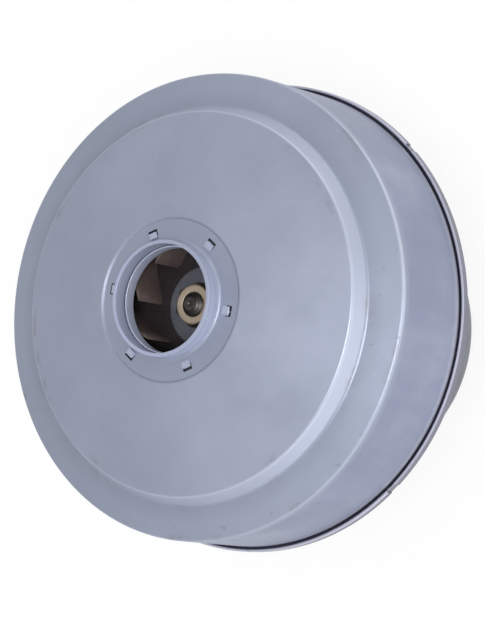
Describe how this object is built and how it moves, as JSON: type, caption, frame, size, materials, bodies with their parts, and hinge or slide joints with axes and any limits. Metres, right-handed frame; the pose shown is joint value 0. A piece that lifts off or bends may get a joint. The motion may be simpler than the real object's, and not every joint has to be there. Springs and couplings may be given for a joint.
{
  "type": "vacuum motor unit",
  "caption": "Round suction motor: a wide steel fan cover with a raised inlet eye on a slimmer motor frame, driving a closed impeller from a shaft with carbon brushes.",
  "frame": {"origin": "centre of the rear bearing boss, on the face the motor stands on", "axes": "+Z along the shaft towards the air inlet; the two carbon brushes lie along X"},
  "size_m": [0.135, 0.1344, 0.1211],
  "materials": {
    "zinc_plate": "satin zinc plating on drawn steel sheet",
    "seal_metal": "bright zinc plating",
    "seal_ring": "dark sealing plastic",
    "vane_plastic": "moulded, fine matt",
    "zinc_screw": "zinc plated",
    "spring_steel": "bright drawn wire",
    "bearing_steel": "ground and polished",
    "cage_nylon": "natural nylon",
    "shaft_steel": "ground",
    "impeller_sheet": "rolled sheet, lightly soiled",
    "black_steel": "blackened",
    "yellow_zinc": "yellow passivated zinc",
    "lamination": "stacked electrical sheet",
    "enamel_copper": "enamelled winding wire",
    "commutator_resin": "moulding resin",
    "commutator_copper": "turned, brush polished",
    "insulation": "insulating sheet",
    "holder_plastic": "moulded, black",
    "brass": "rolled sheet",
    "carbon": "pressed carbon"
  },
  "bodies": {
    "motor_body": {"fan_cover": "zinc_plate", "seal_holder": "seal_metal", "inlet_seal_ring": "seal_ring", "guide_vane_disc": "vane_plastic", "end_bracket": "zinc_plate", "frame_screws": "zinc_screw", "motor_frame": "zinc_plate", "wave_washer": "spring_steel", "front_bearing_outer_ring": "bearing_steel", "front_bearing_shields": "bearing_steel", "rear_bearing_outer_ring": "bearing_steel", "rear_bearing_shields": "bearing_steel", "stator_core": "lamination", "pole_sleeve_left": "insulation", "pole_sleeve_right": "insulation", "field_coil_left": "enamel_copper", "field_coil_right": "enamel_copper", "brush_holder_up": "holder_plastic", "brush_holder_down": "holder_plastic", "brush_tube_up": "brass", "brush_tube_down": "brass", "brush_spring_up": "spring_steel", "brush_spring_down": "spring_steel", "terminal_up": "brass", "terminal_down": "brass", "brush_holder_screws": "zinc_screw"},
    "rotor": {"shaft": "shaft_steel", "impeller_spacer": "shaft_steel", "impeller_back_plate": "impeller_sheet", "impeller_blades": "impeller_sheet", "impeller_shroud": "impeller_sheet", "clamp_washer": "black_steel", "impeller_nut": "yellow_zinc", "armature_core": "lamination", "armature_winding": "enamel_copper", "commutator_hub": "commutator_resin", "commutator_bars": "commutator_copper", "front_bearing_inner_ring": "bearing_steel", "rear_bearing_inner_ring": "bearing_steel"},
    "front_ball_set": {"front_bearing_balls": "bearing_steel", "front_bearing_cage": "cage_nylon"},
    "rear_ball_set": {"rear_bearing_balls": "bearing_steel", "rear_bearing_cage": "cage_nylon"},
    "brush_up": {"carbon_brush_up": "carbon"},
    "brush_down": {"carbon_brush_down": "carbon"}
  },
  "joints": [
    {"name": "rotor_spin", "type": "hinge", "parent": "motor_body", "child": "rotor", "pos_m": [0, 0, 0.05], "axis": [0, 0, 1], "continuous": true},
    {"name": "front_ball_orbit", "type": "hinge", "parent": "motor_body", "child": "front_ball_set", "pos_m": [0, 0, 0.0774], "axis": [0, 0, 1], "continuous": true},
    {"name": "rear_ball_orbit", "type": "hinge", "parent": "motor_body", "child": "rear_ball_set", "pos_m": [0, 0, 0.0053], "axis": [0, 0, 1], "continuous": true},
    {"name": "brush_up_slide", "type": "slide", "parent": "motor_body", "child": "brush_up", "axis": [1, 0, 0], "range_m": [0, 0.008], "stiffness_N_per_m": 250, "springref_m": -0.012, "deforming": ["brush_spring_up"]},
    {"name": "brush_down_slide", "type": "slide", "parent": "motor_body", "child": "brush_down", "axis": [-1, 0, 0], "range_m": [0, 0.008], "stiffness_N_per_m": 250, "springref_m": -0.012, "deforming": ["brush_spring_down"]}
  ],
  "couplings": [
    {"joint": "front_ball_orbit", "follows": "rotor_spin", "ratio": 0.36667},
    {"joint": "rear_ball_orbit", "follows": "rotor_spin", "ratio": 0.36667}
  ]
}
